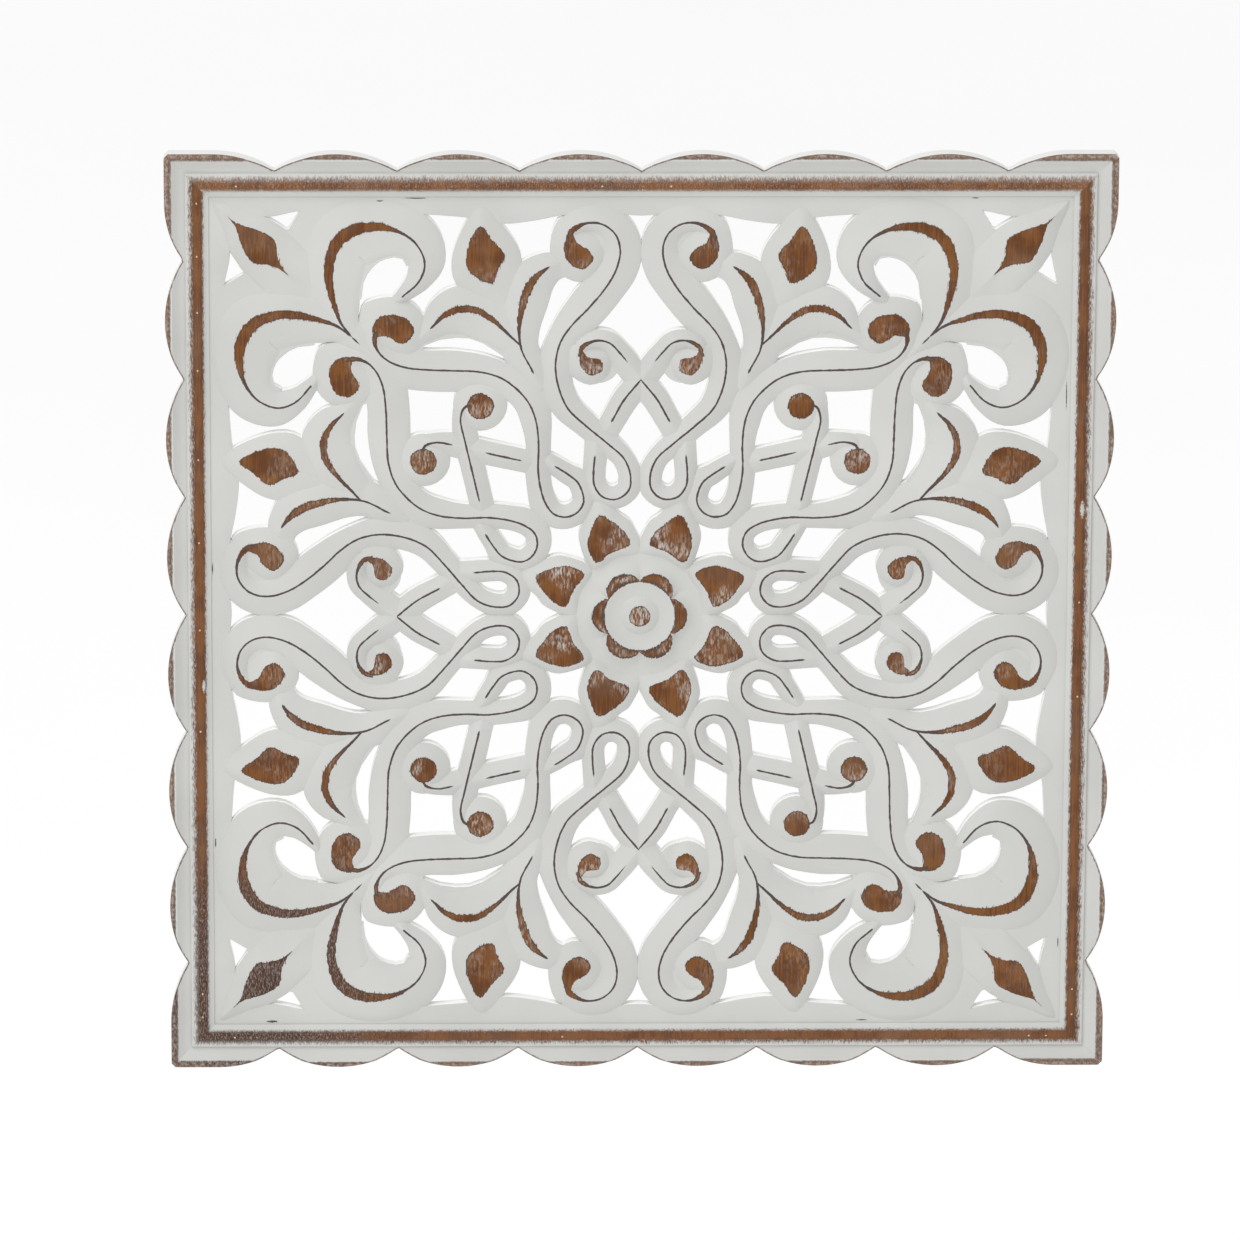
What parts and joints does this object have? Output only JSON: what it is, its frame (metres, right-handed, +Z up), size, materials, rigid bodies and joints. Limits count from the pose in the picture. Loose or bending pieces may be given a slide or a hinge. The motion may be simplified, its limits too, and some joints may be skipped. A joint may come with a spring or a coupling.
{
  "type": "mandala wall panel",
  "caption": "Square carved openwork wall panel with a central rosette, scrolls and leaf sprays, set in a scalloped mitred frame.",
  "frame": {"origin": "middle of the flat back, where the panel lies against the wall", "axes": "+Z up, the carved face looks along -Y, +Y points into the wall"},
  "size_m": [0.6, 0.0146, 0.6],
  "materials": {
    "carved_board": "matt white paint sanded back to brown on the raised tops",
    "frame_moulding": "matt white paint sanded back to brown on the rim and bead"
  },
  "bodies": {
    "root": {"openwork_panel": "carved_board", "top_rail": "frame_moulding", "left_rail": "frame_moulding", "bottom_rail": "frame_moulding", "right_rail": "frame_moulding"}
  },
  "joints": []
}
